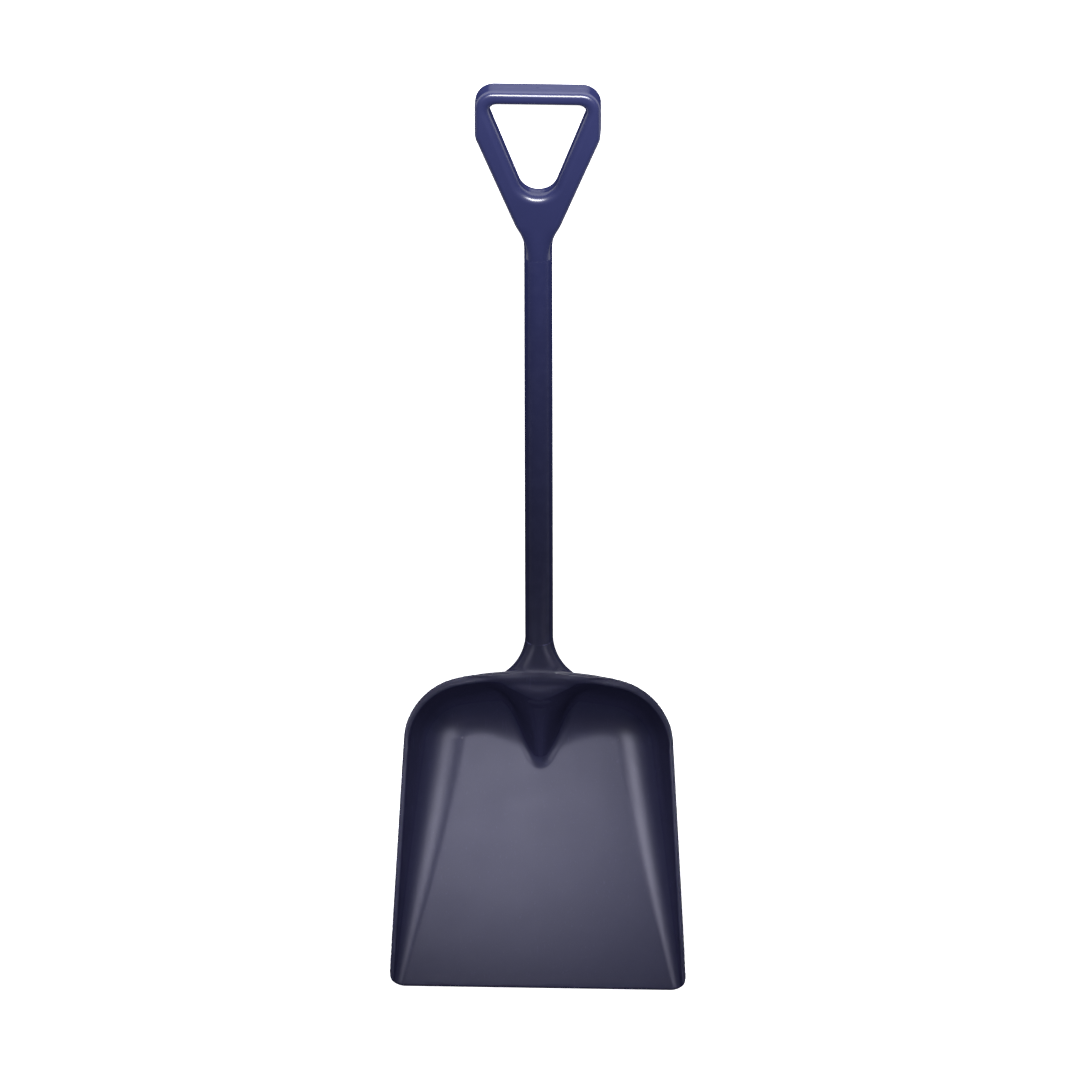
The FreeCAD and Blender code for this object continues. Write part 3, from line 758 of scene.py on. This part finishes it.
def black_plastic(name):
    """The tube plugs' dull black moulding."""
    n = Nodes(name)
    patches = n.spread(n.noise(80.0, 3.0), 0.3, 0.7)
    colour = n.mix(patches, BLACK, BLACK_DUSTY)
    rough = n.spread(n.noise(120.0, 3.0), 0.3, 0.7, 0.5, 0.65)
    grain = n.bump(n.noise(1500.0, 2.0), 0.00003, 0.6)
    return n.finish(Base_Color=colour, Roughness=rough, Normal=grain)


def floor_finish(name):
    """A plain pale studio floor with a very faint paper grain."""
    n = Nodes(name)
    colour = n.mix(n.noise(6.0, 2.0), PAPER, PAPER_PALE)
    grain = n.bump(n.noise(400.0, 2.0), 0.00005, 0.3)
    glow = {"Emission_Color": colour, "Emission_Strength": FLOOR_GLOW}
    return n.finish(Base_Color=colour, Roughness=0.9, Specular_IOR_Level=0.1, Normal=grain, **glow)


def add_piece(name, mesh, finish, stands_for):
    obj = bpy.data.objects.new(name, mesh)
    bpy.context.scene.collection.objects.link(obj)
    mesh.materials.clear()
    mesh.materials.append(finish)
    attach(obj, "root")
    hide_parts(stands_for)
    return obj


def refinish(node, finish):
    """Gives a CAD node its finish."""
    mesh = frame["nodes"][node].data
    mesh.materials.clear()
    mesh.materials.append(finish)


def build_pieces():
    front, rear = grip_meshes()
    sleeve = sleeve_mesh()
    # The sleeve's colour runs along its length from the scoop's shaded navy to the grip's navy:
    # painted shade, darker towards the scoop.
    places = [vertex.co.y for vertex in sleeve.vertices]
    run = (min(places), max(places))
    # The scoop's darker, greyer navy is painted shade.
    scoop_shade_look = (SCOOP_SHADE_DEEP, SCOOP_SHADE_NAVY)
    scoop_finish = navy_plastic("navy_scoop", *scoop_shade_look, SCOOP_WEAR, ROUGH, GLOSS, FADE)
    sleeve_look = (*scoop_shade_look, SLEEVE_WEAR, ROUGH, GLOSS, FADE, run)
    sleeve_finish = navy_plastic("navy_sleeve", *sleeve_look)
    grip_look = (NAVY_DEEP, NAVY, GRIP_WEAR, GRIP_ROUGH, GRIP_GLOSS, GRIP_FADE)
    grip_finish = navy_plastic("navy_grip", *grip_look)
    add_piece("scoop", scoop_mesh(), scoop_finish, "scoop_blade")
    add_piece("sleeve", sleeve, sleeve_finish, "shaft_sleeve")
    add_piece("grip_front", front, grip_finish, "grip_front_shell")
    add_piece("grip_rear", rear, grip_finish, "grip_rear_shell")
    zinc = metal("zinc_steel", ZINC, 0.36, (1.0, 1.0, 1.0))
    refinish("socket_screws", zinc)
    refinish("grip_screws", zinc)
    refinish("grip_pin", metal("pin_steel", PIN_STEEL, 0.30, (1.0, 12.0, 12.0)))
    refinish("core_tube", metal("tube_aluminium", ALUMINIUM, 0.34, (8.0, 0.3, 8.0)))
    plugs = black_plastic("plug_plastic")
    refinish("lower_tube_plug", plugs)
    refinish("upper_tube_plug", plugs)


# ---------------------------------------------------------------- studio
VIEW_AZIMUTH, VIEW_ELEVATION, VIEW_ROLL = (math.radians(a) for a in (176.33, 59.56, 184.03))
VIEW_DISTANCE = 25.0
LENS, SENSOR_WIDTH = 731.5, 36.0
NEAREST, FARTHEST_SEEN = 1.0, 60.0
AIM = Vector((0.0, 0.0, 0.05))
AIM_RIGHT, AIM_UP = 0.0018, -0.0058
FLOOR_SIZE = 8.0
FLOOR_GLOW = 1.1
AMBIENT = 0.05
COOL, NEAR_WHITE = (0.84, 0.83, 1.0), (0.95, 0.95, 1.0)


def floor():
    bm = bmesh.new()
    half = FLOOR_SIZE / 2
    plan = ((-half, -half), (half, -half), (half, half), (-half, half))
    bm.faces.new([bm.verts.new((x, y, 0.0)) for x, y in plan])
    mesh = bpy.data.meshes.new("floor")
    bm.to_mesh(mesh)
    bm.free()
    mesh.materials.append(floor_finish("floor_paper"))
    obj = bpy.data.objects.new("floor", mesh)
    bpy.context.scene.collection.objects.link(obj)


def direction(azimuth, elevation):
    flat = math.cos(elevation)
    return Vector((math.sin(azimuth) * flat, -math.cos(azimuth) * flat, math.sin(elevation)))


def softbox(name, towards, target, distance, size, power, colour, spread=180.0):
    """An area light that lies in a direction (azimuth, elevation) from its target. Its beam is
    spread degrees wide."""
    light = bpy.data.lights.new(name, "AREA")
    light.shape = "RECTANGLE"
    light.size, light.size_y = size
    light.energy = power
    light.color = colour
    light.spread = math.radians(spread)
    obj = bpy.data.objects.new(name, light)
    away = direction(*(math.radians(a) for a in towards))
    obj.location = Vector(target) + distance * away
    obj.rotation_mode = "QUATERNION"
    obj.rotation_quaternion = away.to_track_quat("Z", "Y")
    obj.visible_camera = False
    bpy.context.scene.collection.objects.link(obj)


def camera():
    towards = direction(VIEW_AZIMUTH, VIEW_ELEVATION)
    flat_right = Vector((0, 0, 1)).cross(towards).normalized()
    flat_up = towards.cross(flat_right)
    right = math.cos(VIEW_ROLL) * flat_right + math.sin(VIEW_ROLL) * flat_up
    up = math.cos(VIEW_ROLL) * flat_up - math.sin(VIEW_ROLL) * flat_right
    data = bpy.data.cameras.new("camera")
    data.lens = LENS
    data.sensor_width = SENSOR_WIDTH
    data.clip_start, data.clip_end = NEAREST, FARTHEST_SEEN
    obj = bpy.data.objects.new("camera", data)
    place = AIM + towards * VIEW_DISTANCE + right * AIM_RIGHT + up * AIM_UP
    turn = Matrix((right, up, towards)).transposed().to_4x4()
    obj.matrix_world = Matrix.Translation(place) @ turn
    bpy.context.scene.collection.objects.link(obj)
    bpy.context.scene.camera = obj


def studio_light():
    world = bpy.data.worlds.new("studio")
    world.use_nodes = True
    background = world.node_tree.nodes["Background"]
    background.inputs["Color"].default_value = (1.0, 1.0, 1.0, 1.0)
    background.inputs["Strength"].default_value = AMBIENT
    bpy.context.scene.world = world
    over = {"distance": 1.20, "size": (0.30, 0.30), "power": 0.178, "colour": COOL, "spread": 21.0}
    softbox("sheen", (187.8, 76.4), target=(-0.05, -0.34, 0.05), **over)
    beside = {"distance": 0.90, "size": (0.16, 0.50), "colour": COOL}
    left, right = (-0.13, -0.40, 0.10), (0.13, -0.42, 0.10)
    softbox("side", (92.0, 47.0), target=left, power=0.52, spread=42.0, **beside)
    softbox("far_side", (262.0, 50.0), target=right, power=0.62, spread=40.0, **beside)
    behind = {"distance": 0.85, "size": (0.70, 0.13), "power": 32.0, "colour": NEAR_WHITE}
    softbox("end", (174.0, 54.0), target=(0.02, 0.55, 0.03), **behind)


build_pieces()
floor()
studio_light()
camera()
bpy.context.scene.view_settings.view_transform = "Standard"
